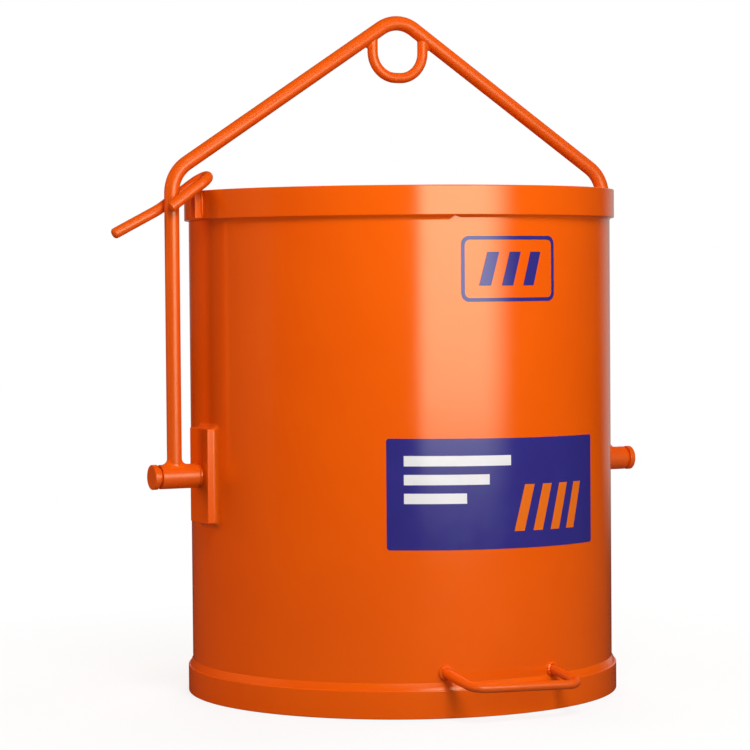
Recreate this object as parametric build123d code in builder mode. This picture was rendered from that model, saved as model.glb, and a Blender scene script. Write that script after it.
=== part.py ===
"""Tipping bucket: a rolled steel drum that hangs on two trunnions in a rod bail, with a locking lever.

Millimetres, +Z up. The origin is on the drum's axis, level with the lower edge of the base hoop.
X runs along the trunnions, with the lever on the -X side, and the tipping handle faces -Y.
"""

import os
from math import atan2, cos, degrees, radians, sin, tan

from build123d import *

os.makedirs("parts", exist_ok=True)

# Drum
drum_diameter = 480.0
drum_wall = 2.0
drum_height = 567.0
seam_gap = 1.6
seam_bead_width = 7.0
seam_bead_rise = 1.2
floor_thickness = 3.0
floor_recess = 6.0
floor_fit = 0.15
floor_weld_inset = 1.5

# Hoops of flat bar round the mouth and the foot
hoop_thickness = 5.0
hoop_fit = 0.05
hoop_edge_radius = 1.0
hoop_width = 30.5
hoop_weld_rise = 7.5
hoop_weld_edge = 0.6
hoop_weld_crown = 0.58
rim_weld_start_angle = -102.5
rim_weld_sweep_angle = 162.5

# Trunnions: pads, pins and caps
trunnion_height = 252.0
pad_thickness = 10.5
pad_width = 50.0
pad_height = 105.0
pad_corner_radius = 2.0
pad_edge_radius = 0.8
pad_weld_radius = 6.0
pad_run_in = 42.0
pin_diameter = 20.0
pin_fit = 0.1
pin_end_gap = 0.2
pin_weld_leg = 2.2
cap_diameter = 27.6
cap_thickness = 6.4
cap_seat_depth = 2.6
cap_edge = 0.9

# Bail
bail_rod_diameter = 16.5
sleeve_diameter = 26.9
sleeve_length = 44.0
sleeve_side_gap = 3.0
sleeve_edge = 0.6
running_clearance = 0.05
left_upright_inset = 26.0
right_upright_inset = 17.0
shoulder_rise = 18.0
gable_rise = 199.4
shoulder_bend_radius = 40.0
gable_bend_radius = 38.0
foot_weld_radius = 7.0

# Lifting eye
eye_rod_diameter = 11.8
eye_width = 63.6
eye_bend_radius = 29.0
eye_drop = 69.7
eye_weld_radius = 2.6

# Tipping handle
handle_rod_diameter = 10.0
handle_width = 130.0
handle_reach = 53.5
handle_root_rise = 14.3
handle_droop = 7.5
handle_tilt_angle = 1.9
handle_bend_radius = 16.0
handle_weld_radius = 3.0
handle_run_in = 40.0

# Locking lever and its catch
lever_rod_diameter = 12.0
lever_side_gap = 0.5
lever_pivot_drop = 14.3
lever_slope = 35.5
lever_nose_reach = 51.0
lever_front_end = 8.5
lever_tail_start = 2.0
lever_tail_bend_radius = 110.0
lever_tail_bend = 8.5
lever_tail_length = 54.0
lever_tip_radius = 3.6
lever_pin_diameter = 6.0
catch_width = 11.0
catch_depth = 9.0
catch_top_gap = 0.8
catch_fit = 0.05
catch_weld_leg = 2.0
catch_weld_inset = 2.5

# How far the shapes that a bead is cut from run past it, in bead radii
bead_margin = 3.0

# Radii and heights that follow from these
drum_radius = drum_diameter / 2
drum_bore_radius = drum_radius - drum_wall
seam_cut = 4 * drum_wall
hoop_inner_radius = drum_radius + hoop_fit
hoop_outer_radius = hoop_inner_radius + hoop_thickness
rim_hoop_bottom = drum_height - hoop_width
hoop_weld_leg = hoop_thickness - hoop_edge_radius - hoop_weld_edge
floor_weld_leg = floor_recess - floor_weld_inset
pin_radius = pin_diameter / 2
sleeve_radius = sleeve_diameter / 2
bail_rod_radius = bail_rod_diameter / 2
lever_rod_radius = lever_rod_diameter / 2

# Places along the trunnions, as distances from the drum's axis
pad_face = drum_radius + pad_thickness
sleeve_inner_end = pad_face + sleeve_side_gap
sleeve_outer_end = sleeve_inner_end + sleeve_length
cap_inner_face = sleeve_outer_end + sleeve_side_gap
left_upright = sleeve_inner_end + left_upright_inset
right_upright = sleeve_inner_end + right_upright_inset

# Corners of the bail's centre line, before its bends
shoulder_height = drum_height + shoulder_rise
gable_height = drum_height + gable_rise

# The lever's pivot on the left upright, and its directions
lever_half_gap = bail_rod_radius + lever_side_gap + lever_rod_radius
lever_pivot = Vector(-left_upright, 0, drum_height - lever_pivot_drop)
lever_along = Vector(-cos(radians(lever_slope)), 0, -sin(radians(lever_slope)))
lever_up = Vector(-sin(radians(lever_slope)), 0, cos(radians(lever_slope)))

LEFT, RIGHT = -1, 1
SIDE_NAMES = {LEFT: "left", RIGHT: "right"}
TRUNNION_AXIS = Axis((0, 0, trunnion_height), (1, 0, 0))


def save(piece, name):
    """Label a finished piece and write it."""
    piece.part.label = name
    export_step(piece.part, f"parts/{name}.step")


def radial_plane(angle):
    """Upright plane through the drum's axis, with its first axis pointing out at the angle."""
    out_x = cos(radians(angle))
    out_y = sin(radians(angle))
    return Plane(origin=(0, 0, 0), x_dir=(out_x, out_y, 0), z_dir=(out_y, -out_x, 0))


def bead_between(base, member, radius):
    """Concave weld bead along the line where a member stands on its base."""
    with BuildPart() as bead:
        add(base)
        add(member)
        fillet(bead.edges(Select.NEW), radius)
        add(base, mode=Mode.SUBTRACT)
        add(member, mode=Mode.SUBTRACT)
    return bead


def drum_core(low, high):
    """Plain cylinder of the drum's outside, between two heights."""
    with BuildPart() as core:
        with BuildSketch(Plane.XY.offset(low)):
            Circle(drum_radius)
        extrude(amount=high - low)
    return core.part


def hoop(low):
    """Flat bar rolled round the drum, with its outer corners eased."""
    with BuildPart() as bar:
        with BuildSketch(Plane.XY.offset(low)):
            Circle(hoop_outer_radius)
            Circle(hoop_inner_radius, mode=Mode.SUBTRACT)
        extrude(amount=hoop_width)
        outer_corners = bar.edges().filter_by(GeomType.CIRCLE).sort_by(SortBy.RADIUS)[-2:]
        fillet(outer_corners, hoop_edge_radius)
    return bar


def hoop_weld(edge_height, rise, start_angle, sweep_angle):
    """Bead in the corner between the drum and one edge of a hoop."""
    with BuildPart() as bead:
        with BuildSketch(radial_plane(start_angle)):
            with BuildLine():
                corner = (drum_radius, edge_height)
                on_hoop = (drum_radius + hoop_weld_leg, edge_height)
                on_drum = (drum_radius, edge_height + rise)
                Polyline(on_drum, corner, on_hoop)
                crown = (drum_radius + hoop_weld_leg / 2, edge_height + rise * hoop_weld_crown)
                ThreePointArc(on_hoop, crown, on_drum)
            make_face()
        revolve(axis=Axis.Z, revolution_arc=sweep_angle)
    return bead


# Drum shell: a sheet rolled into a tube, whose two edges meet at the back
with BuildPart() as drum_shell:
    with BuildSketch():
        Circle(drum_radius)
        Circle(drum_bore_radius, mode=Mode.SUBTRACT)
        with Locations((0, drum_radius)):
            Rectangle(seam_gap, seam_cut, mode=Mode.SUBTRACT)
    extrude(amount=drum_height)
save(drum_shell, "drum_shell")

# Seam weld: fills the gap over the whole height, and stands proud between the two hoops
seam_cap_low = hoop_width + hoop_weld_rise
seam_cap_high = rim_hoop_bottom - hoop_weld_rise
with BuildPart() as shell_seam_weld:
    with BuildSketch():
        with Locations((0, drum_radius)):
            Rectangle(seam_gap, seam_cut)
        Circle(drum_radius, mode=Mode.INTERSECT)
    extrude(amount=drum_height)
    with BuildSketch(Plane.XY.offset(seam_cap_low)):
        with Locations((0, drum_radius)):
            Ellipse(seam_bead_width / 2, seam_bead_rise)
    extrude(amount=seam_cap_high - seam_cap_low)
    with BuildSketch():
        Circle(drum_bore_radius)
    extrude(amount=drum_height, mode=Mode.SUBTRACT)
    add(drum_shell.part, mode=Mode.SUBTRACT)
save(shell_seam_weld, "shell_seam_weld")

# Floor plate, set in from the lower edge, and the bead round its underside
with BuildPart() as floor_plate:
    with BuildSketch(Plane.XY.offset(floor_recess)):
        Circle(drum_bore_radius - floor_fit)
    extrude(amount=floor_thickness)
save(floor_plate, "floor_plate")

with BuildPart() as floor_weld:
    with BuildSketch(Plane.XZ):
        with BuildLine():
            Polyline(
                (drum_bore_radius, floor_recess - floor_weld_leg),
                (drum_bore_radius, floor_recess),
                (drum_bore_radius - floor_weld_leg, floor_recess),
                close=True,
            )
        make_face()
    revolve(axis=Axis.Z)
save(floor_weld, "floor_weld")

# Hoops and their beads
rim_hoop = hoop(rim_hoop_bottom)
save(rim_hoop, "rim_hoop")
rim_hoop_weld = hoop_weld(rim_hoop_bottom, -hoop_weld_rise, rim_weld_start_angle, rim_weld_sweep_angle)
save(rim_hoop_weld, "rim_hoop_weld")
base_hoop = hoop(0)
save(base_hoop, "base_hoop")
base_hoop_weld = hoop_weld(hoop_width, hoop_weld_rise, 0, 360)
save(base_hoop_weld, "base_hoop_weld")


def pad_block(side):
    """Plain block of a pad, run in through the drum's wall."""
    with BuildPart() as block:
        with BuildSketch(Plane.YZ.offset(side * pad_face)):
            with Locations((0, trunnion_height)):
                RectangleRounded(pad_width, pad_height, pad_corner_radius)
        extrude(amount=-side * pad_run_in)
    return block.part


def trunnion_pad(side):
    """Thick plate whose back is shaped to the drum, with the pin's hole through it."""
    with BuildPart() as pad:
        add(pad_block(side))
        outer_face = pad.faces().sort_by(Axis.X)[0 if side == LEFT else -1]
        fillet(outer_face.edges(), pad_edge_radius)
        with BuildSketch():
            Circle(drum_radius)
        extrude(amount=drum_height, mode=Mode.SUBTRACT)
        with BuildSketch(Plane.YZ):
            with Locations((0, trunnion_height)):
                Circle(pin_radius + pin_fit)
        extrude(amount=side * pad_face, mode=Mode.SUBTRACT)
    return pad


def pad_weld(side):
    """Bead all round a pad's foot on the drum."""
    margin = pad_height / 2 + bead_margin * pad_weld_radius
    core = drum_core(trunnion_height - margin, trunnion_height + margin)
    return bead_between(core, pad_block(side), pad_weld_radius)


def along_trunnion(side, radius, start, end):
    """Solid round bar on the trunnion axis, between two distances from the drum's axis."""
    with BuildPart() as bar:
        with BuildSketch(Plane.YZ.offset(side * start)):
            with Locations((0, trunnion_height)):
                Circle(radius)
        extrude(amount=side * (end - start))
    return bar


def pin_weld(side):
    """Bead where the pin leaves its pad."""
    with BuildPart() as bead:
        with BuildSketch(Plane.XZ):
            with BuildLine():
                Polyline(
                    (side * pad_face, trunnion_height + pin_radius),
                    (side * pad_face, trunnion_height + pin_radius + pin_weld_leg),
                    (side * (pad_face + pin_weld_leg), trunnion_height + pin_radius),
                    close=True,
                )
            make_face()
        revolve(axis=TRUNNION_AXIS)
    return bead


def pin_cap(side):
    """Disc with a shallow seat for the pin's end, and eased edges."""
    with BuildPart() as cap:
        with BuildSketch(Plane.YZ.offset(side * cap_inner_face)):
            with Locations((0, trunnion_height)):
                Circle(cap_diameter / 2)
        extrude(amount=side * cap_thickness)
        chamfer(cap.edges().filter_by(GeomType.CIRCLE), cap_edge)
        with BuildSketch(Plane.YZ.offset(side * cap_inner_face)):
            with Locations((0, trunnion_height)):
                Circle(pin_radius + pin_fit)
        extrude(amount=side * cap_seat_depth, mode=Mode.SUBTRACT)
    return cap


def bail_sleeve(side):
    """Short tube that runs on the pin."""
    with BuildPart() as sleeve:
        with BuildSketch(Plane.YZ.offset(side * sleeve_inner_end)):
            with Locations((0, trunnion_height)):
                Circle(sleeve_radius)
        extrude(amount=side * sleeve_length)
        chamfer(sleeve.edges().filter_by(GeomType.CIRCLE), sleeve_edge)
        with BuildSketch(Plane.YZ.offset(side * sleeve_inner_end)):
            with Locations((0, trunnion_height)):
                Circle(pin_radius + running_clearance)
        extrude(amount=side * sleeve_length, mode=Mode.SUBTRACT)
    return sleeve


# Trunnions, one each side
for side, side_name in SIDE_NAMES.items():
    save(trunnion_pad(side), f"{side_name}_trunnion_pad")
    save(pad_weld(side), f"{side_name}_pad_weld")
    pin = along_trunnion(side, pin_radius, drum_radius + pin_end_gap, cap_inner_face + cap_seat_depth)
    save(pin, f"{side_name}_trunnion_pin")
    save(pin_weld(side), f"{side_name}_pin_weld")
    save(pin_cap(side), f"{side_name}_pin_cap")
    save(bail_sleeve(side), f"{side_name}_bail_sleeve")

# Bail rod: two uprights and a gable, bent from one round bar and notched over the sleeves
sleeve_cores = [
    along_trunnion(side, sleeve_radius, sleeve_inner_end, sleeve_outer_end).part for side in SIDE_NAMES
]
with BuildPart() as bail_bar:
    with BuildLine(Plane.XZ) as bail_line:
        FilletPolyline(
            (-left_upright, trunnion_height),
            (-left_upright, shoulder_height),
            (0, gable_height),
            (right_upright, shoulder_height),
            (right_upright, trunnion_height),
            radius=[shoulder_bend_radius, gable_bend_radius, shoulder_bend_radius],
        )
    with BuildSketch(Plane.XY.offset(trunnion_height)):
        with Locations((-left_upright, 0)):
            Circle(bail_rod_radius)
    sweep()

with BuildPart() as bail_rod:
    add(bail_bar.part)
    for core in sleeve_cores:
        add(core, mode=Mode.SUBTRACT)
    with BuildSketch(Plane.XZ):
        with Locations((lever_pivot.X, lever_pivot.Z)):
            Circle(lever_pin_diameter / 2 + running_clearance)
    extrude(amount=bail_rod_diameter, both=True, mode=Mode.SUBTRACT)
save(bail_rod, "bail_rod")

# Beads where the uprights stand on their sleeves
for side, core in zip(SIDE_NAMES, sleeve_cores):
    upright = -left_upright if side == LEFT else right_upright
    with BuildPart() as foot:
        with BuildSketch(Plane.XY.offset(trunnion_height)):
            with Locations((upright, 0)):
                Circle(bail_rod_radius)
        extrude(amount=sleeve_radius + bead_margin * foot_weld_radius)
    save(bead_between(core, foot.part, foot_weld_radius), f"{SIDE_NAMES[side]}_foot_weld")

# Lifting eye: a round loop whose two ends run up into the gable
eye_half = eye_width / 2
eye_bottom = gable_height - eye_drop
left_leg_top = gable_height - eye_half * (gable_height - shoulder_height) / left_upright
right_leg_top = gable_height - eye_half * (gable_height - shoulder_height) / right_upright
with BuildPart() as eye_bar:
    with BuildLine(Plane.XZ) as eye_line:
        FilletPolyline(
            (-eye_half, left_leg_top),
            (-eye_half, eye_bottom),
            (eye_half, eye_bottom),
            (eye_half, right_leg_top),
            radius=eye_bend_radius,
        )
    with BuildSketch(Plane.XY.offset(left_leg_top)):
        with Locations((-eye_half, 0)):
            Circle(eye_rod_diameter / 2)
    sweep()

with BuildPart() as lifting_eye:
    add(eye_bar.part)
    add(bail_bar.part, mode=Mode.SUBTRACT)
save(lifting_eye, "lifting_eye")

# Beads where the eye's legs meet the straight runs of the gable
eye_weld_run = bail_rod_diameter + bead_margin * eye_rod_diameter
with BuildPart() as eye_welds:
    for side, upright, leg_top in ((LEFT, left_upright, left_leg_top), (RIGHT, right_upright, right_leg_top)):
        leg_joint = (side * eye_half, 0, leg_top)
        along_gable = (side * upright, 0, shoulder_height - gable_height)
        with BuildPart(mode=Mode.PRIVATE) as gable_run:
            with BuildSketch(Plane(origin=leg_joint, x_dir=(0, 1, 0), z_dir=along_gable)):
                Circle(bail_rod_radius)
            extrude(amount=eye_weld_run, both=True)
        with BuildPart(mode=Mode.PRIVATE) as leg_run:
            with BuildSketch(Plane(origin=leg_joint, x_dir=(1, 0, 0), z_dir=(0, 0, -1))):
                Circle(eye_rod_diameter / 2)
            extrude(amount=eye_weld_run)
        add(bead_between(gable_run.part, leg_run.part, eye_weld_radius).part)
save(eye_welds, "eye_welds")

# Tipping handle: a bent rod that stands out from the drum, droops a little and sits lower at its +X end
handle_half = handle_width / 2
handle_root_height = hoop_width + handle_root_rise
handle_fall = degrees(atan2(handle_droop, handle_reach))
handle_plane = Plane(
    origin=(0, -drum_radius, handle_root_height),
    x_dir=(1, 0, 0),
    z_dir=(0, -sin(radians(handle_fall)), cos(radians(handle_fall))),
).rotated((0, handle_tilt_angle, 0))
handle_out = handle_reach / cos(radians(handle_fall))
handle_core = drum_core(0, handle_root_height + handle_run_in)
with BuildPart() as handle_bar:
    with BuildLine(handle_plane) as handle_line:
        FilletPolyline(
            (-handle_half, handle_run_in),
            (-handle_half, -handle_out),
            (handle_half, -handle_out),
            (handle_half, handle_run_in),
            radius=handle_bend_radius,
        )
    with BuildSketch(handle_line.line ^ 0):
        Circle(handle_rod_diameter / 2)
    sweep()

# Room that the bead on the base hoop takes, which the handle and its own beads stay clear of
with BuildPart() as hoop_bead_room:
    with BuildSketch():
        Circle(drum_radius + hoop_weld_leg)
    extrude(amount=hoop_width + hoop_weld_rise)

with BuildPart() as tipping_handle:
    add(handle_bar.part)
    add(handle_core, mode=Mode.SUBTRACT)
    add(hoop_bead_room.part, mode=Mode.SUBTRACT)
save(tipping_handle, "tipping_handle")

with BuildPart() as handle_welds:
    add(bead_between(handle_core, handle_bar.part, handle_weld_radius).part)
    add(hoop_bead_room.part, mode=Mode.SUBTRACT)
save(handle_welds, "handle_welds")

# Locking lever: a hairpin round the left upright, whose back leg is drawn out as a tail
lever_plane = Plane(origin=lever_pivot, x_dir=lever_along, z_dir=-lever_up)
nose_centre = lever_nose_reach - lever_half_gap
tail_root = lever_pivot + lever_along * lever_tail_start + Vector(0, lever_half_gap, 0)
tail_plane = Plane(origin=tail_root, x_dir=lever_along, z_dir=(0, 1, 0))
bend = radians(lever_tail_bend)
bend_end = (lever_tail_bend_radius * sin(bend), lever_tail_bend_radius * (1 - cos(bend)))
bend_middle = (lever_tail_bend_radius * sin(bend / 2), lever_tail_bend_radius * (1 - cos(bend / 2)))
tail_end = (bend_end[0] + lever_tail_length * cos(bend), bend_end[1] + lever_tail_length * sin(bend))
with BuildPart() as latch_lever:
    with BuildLine() as lever_line:
        with BuildLine(lever_plane):
            Line((lever_front_end, -lever_half_gap), (-nose_centre, -lever_half_gap))
            ThreePointArc(
                (-nose_centre, -lever_half_gap),
                (-lever_nose_reach, 0),
                (-nose_centre, lever_half_gap),
            )
            Line((-nose_centre, lever_half_gap), (lever_tail_start, lever_half_gap))
        with BuildLine(tail_plane):
            ThreePointArc((0, 0), bend_middle, bend_end)
            Line(bend_end, tail_end)
    with BuildSketch(lever_line.line ^ 0):
        Circle(lever_rod_radius)
    sweep()
    tail_tip = latch_lever.faces().filter_by(GeomType.PLANE).sort_by(Axis.X)[0]
    fillet(tail_tip.edges(), lever_tip_radius)
save(latch_lever, "latch_lever")

# Cross pin that carries the lever in the upright, and ends on the lever's two legs
with BuildPart() as latch_pin:
    with BuildSketch(Plane.XZ):
        with Locations((lever_pivot.X, lever_pivot.Z)):
            Circle(lever_pin_diameter / 2)
    extrude(amount=lever_half_gap, both=True)
    add(latch_lever.part, mode=Mode.SUBTRACT)
save(latch_pin, "latch_pin")


def lever_underside(distance):
    """Height of the legs' underside at a distance from the drum's axis, with the lever at rest."""
    slope = radians(lever_slope)
    return lever_pivot.Z + (left_upright - distance) * tan(slope) - lever_rod_radius / cos(slope)


# Catch: a block on the rim hoop, sloped along its top to pass just under the resting lever
catch_inner = hoop_outer_radius + catch_fit
catch_outer = catch_inner + catch_depth
with BuildPart() as catch_block:
    with BuildSketch(Plane.XZ):
        with BuildLine():
            Polyline(
                (-drum_radius, rim_hoop_bottom),
                (-catch_outer, rim_hoop_bottom),
                (-catch_outer, lever_underside(catch_outer) - catch_top_gap),
                (-catch_inner, lever_underside(catch_inner) - catch_top_gap),
                (-drum_radius, lever_underside(catch_inner) - catch_top_gap),
                close=True,
            )
        make_face()
    extrude(amount=catch_width / 2, both=True)

with BuildPart() as catch_core:
    with BuildSketch(Plane.XY.offset(rim_hoop_bottom)):
        Circle(catch_inner)
    extrude(amount=hoop_width + lever_rod_diameter)

with BuildPart() as latch_catch:
    add(catch_block.part)
    add(catch_core.part, mode=Mode.SUBTRACT)
save(latch_catch, "latch_catch")

# Beads down the two sides of the catch
catch_half = catch_width / 2
with BuildPart() as latch_catch_weld:
    with BuildSketch(Plane.XY.offset(rim_hoop_bottom + catch_weld_inset)):
        for across in (LEFT, RIGHT):
            with BuildLine():
                Polyline(
                    (-drum_radius, across * catch_half),
                    (-catch_inner - catch_weld_leg, across * catch_half),
                    (-catch_inner, across * (catch_half + catch_weld_leg)),
                    (-drum_radius, across * (catch_half + catch_weld_leg)),
                    close=True,
                )
            make_face()
    extrude(amount=hoop_width - 2 * catch_weld_inset)
    add(catch_core.part, mode=Mode.SUBTRACT)
save(latch_catch_weld, "latch_catch_weld")
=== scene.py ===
"""Dresses the solids of a tipping bucket: rolled sheet, bent rods, weld beads, paint and a studio."""

from math import atan2, cos, pi, radians, sin, sqrt, tan

import bmesh
import bpy
from bpy.props import FloatProperty, FloatVectorProperty, IntProperty, PointerProperty
from bpy.types import Operator, Panel, PropertyGroup
from mathutils import Matrix, Vector


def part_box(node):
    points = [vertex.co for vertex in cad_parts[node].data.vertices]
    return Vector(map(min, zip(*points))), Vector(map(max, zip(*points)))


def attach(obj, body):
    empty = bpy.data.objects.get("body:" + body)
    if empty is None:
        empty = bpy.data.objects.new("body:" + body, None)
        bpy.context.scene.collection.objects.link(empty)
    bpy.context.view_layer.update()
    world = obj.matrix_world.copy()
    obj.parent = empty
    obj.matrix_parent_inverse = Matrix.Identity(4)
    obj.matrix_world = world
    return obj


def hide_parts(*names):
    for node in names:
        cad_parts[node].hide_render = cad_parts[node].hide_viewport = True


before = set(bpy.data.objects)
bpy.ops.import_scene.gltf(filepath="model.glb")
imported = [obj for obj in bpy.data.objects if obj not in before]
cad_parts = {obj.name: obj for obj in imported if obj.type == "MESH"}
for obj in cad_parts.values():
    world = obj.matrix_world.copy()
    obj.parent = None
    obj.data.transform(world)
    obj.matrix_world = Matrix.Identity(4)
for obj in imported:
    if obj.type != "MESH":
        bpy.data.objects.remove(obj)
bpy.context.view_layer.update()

bl_info = {
    "name": "Tipping Bucket",
    "version": (1, 0, 0),
    "blender": (4, 5, 0),
    "location": "View3D > Sidebar > Bucket",
    "description": "Dresses the solids of a tipping bucket: smooth metal, weld beads, paint and a studio",
    "category": "Object",
}

MM = 0.001

# Boxes of the solids

SHELL_LOW, SHELL_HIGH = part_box("drum_shell")
RIM_LOW, RIM_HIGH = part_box("rim_hoop")
BASE_LOW, BASE_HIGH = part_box("base_hoop")
BAIL_LOW, BAIL_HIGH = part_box("bail_rod")
EYE_LOW, EYE_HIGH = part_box("lifting_eye")
HANDLE_LOW, HANDLE_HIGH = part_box("tipping_handle")
PAD_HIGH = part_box("right_trunnion_pad")[1]
PIN_LOW, PIN_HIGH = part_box("right_trunnion_pin")
SLEEVE_LOW, SLEEVE_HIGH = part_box("right_bail_sleeve")
CAP_LOW, CAP_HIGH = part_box("right_pin_cap")
CATCH_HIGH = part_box("latch_catch")[1]
LATCH_PIN_LOW, LATCH_PIN_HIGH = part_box("latch_pin")
TRUNNION_HEIGHT = (PIN_LOW.z + PIN_HIGH.z) / 2
PIN_RADIUS = (PIN_HIGH.z - PIN_LOW.z) / 2
LEVER_PIVOT = (LATCH_PIN_LOW + LATCH_PIN_HIGH) / 2

LEFT, RIGHT = -1, 1
SIDES = {LEFT: "left", RIGHT: "right"}
SOLID_FINISHES = {"latch_pin": "Turned steel", "floor_plate": "Enamel inside"}

# Small sizes of the pieces

RIM_EDGE_DROP = 1.5 * MM
RIM_EDGE = RIM_LOW.z - RIM_EDGE_DROP
SHEET_EDGE = 0.5 * MM
INSIDE_MARGIN = 0.7 * MM
BORE_GAP = 0.05 * MM
SLEEVE_EDGE = 0.8 * MM
CAP_EDGE = 1 * MM
BAIL_FOOT_RISE = 11 * MM
HANDLE_END_DEPTH = 0.6 * MM

# Facets of the meshes

CORNER_STEPS = 5
CORNER_HOLD = 0.3
TRUNNION_STEPS = 64
BEND_STEPS = 14
ROD_SIDES = 40
TIP_STEPS = 6
SHARP_EDGE = radians(40)
SAME_PLACE = 1e-6
ON_AXIS = 1e-9

# Rippled beads: radii, gaps between a bead's end and an edge, and places

BEAD_SEED = 3.0
BEAD_SIDES = 8
BEAD_END = 0.35
BEAD_LEAST, BEAD_SWELL = 0.85, 0.3
RIPPLE_SAMPLES = 5.0
WAVER_SCALE, WAVER_DETAIL = 70.0, 2.0
SEAM_BEAD, JOINT_BEAD, CATCH_BEAD = 1.9 * MM, 1.2 * MM, 1.3 * MM
SEAM_GAP, JOINT_GAP, CATCH_GAP = 6 * MM, 2 * MM, 3 * MM
SEAM_STEP = 8 * MM
JOINT_DEPTH = 0.5 * MM
# Each butt joint: its place along X, and how much of the hoop's radius is left there along Y
RIM_JOINT, BASE_JOINT = (-30 * MM, 0.9925), (36 * MM, 0.9891)
CATCH_BEAD_DEPTH, CATCH_BEAD_OUT = 1.2 * MM, 0.8 * MM
PIN_BEAD, PIN_BEAD_OUT, PIN_BEAD_POINTS = 1.5 * MM, 0.9 * MM, 24
HANDLE_BEAD, HANDLE_BEAD_POINTS = 2.1 * MM, 28
HANDLE_BEAD_ROUND, HANDLE_BEAD_OUT = 1.1 * MM, 1 * MM

# Smooth beads under the rim

RIM_BEAD_STEP, RIM_BEAD_RUN_OUT = 3 * MM, 6 * MM
RIM_BEAD_END = 0.06
RIM_BEAD_FACETS = 12
RIM_BEAD_DEPTH, RIM_BEAD_LAP = 0.5 * MM, 0.3 * MM

# Printed panels: distances along the drum and heights, from the middle of each panel

PRINT_STEP, FINE_PRINT_STEP = 2 * MM, 0.5 * MM
LARGE_HALF, LARGE_RISE, LARGE_CORNER = 134.5 * MM, 59.3 * MM, 2 * MM
STRIPE_START, STRIPE_ENDS = -116 * MM, (4 * MM, -22 * MM, -48 * MM)
STRIPE_TOP, STRIPE_HEIGHT, STRIPE_PITCH = 41 * MM, 11 * MM, 20 * MM
SMALL_HALF, SMALL_RISE, SMALL_CORNER = 59 * MM, 35 * MM, 9 * MM
FRAME_LINE, FRAME_INNER_CORNER = 4 * MM, 6 * MM

# Finishes: scale and detail of their noise, least and most roughness, and relief

PAINT_TONE, PAINT_SHEEN, PAINT_SKIN = (7, 3), (38, 4), (60, 1)
STEEL_TONE, STEEL_SHEEN, STEEL_MARKS = (60, 5), (240, 3), (900, 1)
FILM_TONE, FILM_SHEEN = (25, 4), (60, 3)
NOISE_LOW, NOISE_HIGH = 0.3, 0.7
STEEL_ROUGHNESS, FILM_ROUGHNESS = (0.28, 0.45), (0.14, 0.20)
PAINT_SKIN_DEPTH, STEEL_MARK_DEPTH = 0.6 * MM, 0.2 * MM
STEEL_MARK_STRENGTH = 0.15
GLOSS_IOR = 1.6

# Studio, in metres, watts and shares of white

WHITE = (1, 1, 1, 1)
CAMERA_PLACE = (-1.41946, -2.80669, 0.46941)
CAMERA_HEADING, CAMERA_PITCH, CAMERA_ROLL = radians(26.3032), radians(2.0331), radians(0.4642)
CAMERA_LENS, CAMERA_SENSOR = 131.828, 36.0
FLOOR_SIZE = 40
FLOOR_LIGHT, FLOOR_MIRRORED = 0.35, 0.03
SHADOW_SPAN, SHADOW_WHITE = (0.25, 0.9), 0.8
BACKDROP_SPAN = (1.5, 4.0)
BACKDROP_DIRECTION, BACKDROP_EDGE = (0.616, 0.788, 0.0), (0.86, 0.97)
BACKDROP_GLOW = 0.4
ROOM_LIGHT, ROOM_MIRRORED = 0.06, 0.015
KEY_SIZE, KEY_PLACE, KEY_TARGET = (1.78, 0.98), (0.199, -1.686, 0.51), (0, 0, 0.51)
# Each ramp of the key: axis, start and end on the panel, and the strength at both
KEY_RAMPS = (
    ("Y", -0.30, 0.10, 3.0, 4.0),
    ("Y", -0.46, -0.20, 0.0, 1.0),
    ("X", -0.89, -0.19, 0.0, 1.0),
    ("X", 0.89, 0.60, 0.0, 1.0),
)
# Each lamp: name, place, target, width, height, power and colour
LAMPS = (
    ("High light", (-0.42, -1.45, 1.75), (0, 0, 0.35), 0.9, 0.9, 34, (1, 0.99, 0.97)),
    ("Left fill", (-1.85, 1.0, 0.8), (0, 0, 0.35), 1.8, 1.4, 27, (1, 0.72, 0.52)),
    ("Right fill", (2.1, 0.3, 1.8), (0, 0, 0.3), 1.2, 1.2, 20, (1, 0.93, 0.86)),
    ("Back light", (1.15, 2.3, 1.5), (0, 0, 0.3), 1.6, 1.6, 62, (1, 0.98, 0.95)),
)


# Properties


def length(name, description, default):
    """Property for a size."""
    return FloatProperty(name=name, description=description, default=default, unit="LENGTH")


def angle(name, description, degrees):
    """Property for an angle."""
    return FloatProperty(name=name, description=description, default=radians(degrees), subtype="ANGLE")


def colour(name, description, default):
    """Property for a colour."""
    return FloatVectorProperty(
        name=name, description=description, default=default, subtype="COLOR", min=0, max=1
    )


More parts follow.
